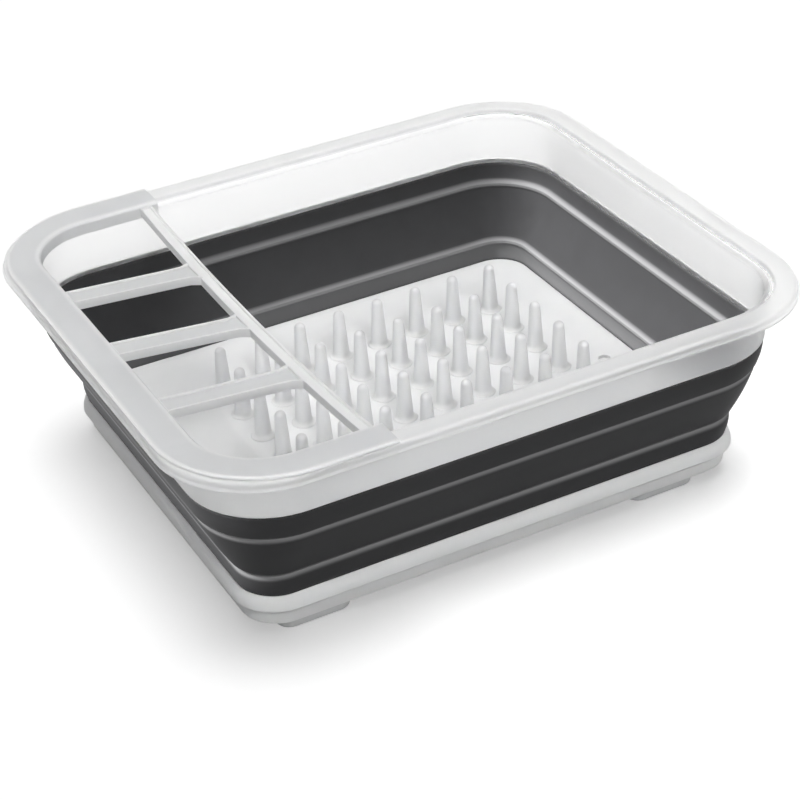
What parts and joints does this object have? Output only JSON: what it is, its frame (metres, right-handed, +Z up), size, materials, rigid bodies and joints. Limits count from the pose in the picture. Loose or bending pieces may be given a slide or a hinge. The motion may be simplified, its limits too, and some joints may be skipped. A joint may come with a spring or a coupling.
{
  "type": "collapsible dish drainer",
  "caption": "Collapsible dish drainer with a frosted rim, folding rubber wall, pegged base tray and a lift-off cutlery rack.",
  "frame": {"origin": "centre of the plan, on the surface that the feet stand on", "axes": "+X along the long side, away from the cutlery rack; +Z up; +Y towards the back of the picture"},
  "size_m": [0.368, 0.322, 0.1185],
  "materials": {
    "frosted_plastic": "frosted translucent, satin",
    "frosted_tray_plastic": "frosted translucent, satin",
    "charcoal_rubber": "matte",
    "foot_rubber": "matte"
  },
  "bodies": {
    "base": {"base_tray": "frosted_tray_plastic", "foot_front_left": "foot_rubber", "foot_front_right": "foot_rubber", "foot_back_left": "foot_rubber", "foot_back_right": "foot_rubber", "bellows_lower_band": "charcoal_rubber", "bellows_middle_band": "charcoal_rubber"},
    "rim": {"rim_frame": "frosted_plastic", "bellows_upper_band": "charcoal_rubber"},
    "rack": {"cutlery_rack": "frosted_plastic"}
  },
  "joints": [
    {"name": "rim_fold", "type": "slide", "parent": "base", "child": "rim", "axis": [0, 0, -1], "range_m": [0, 0.06], "deforming": ["bellows_middle_band"]},
    {"name": "rack_lift_off", "type": "slide", "parent": "rim", "child": "rack", "axis": [0, 0, 1], "range_m": [0, 0.06]}
  ]
}
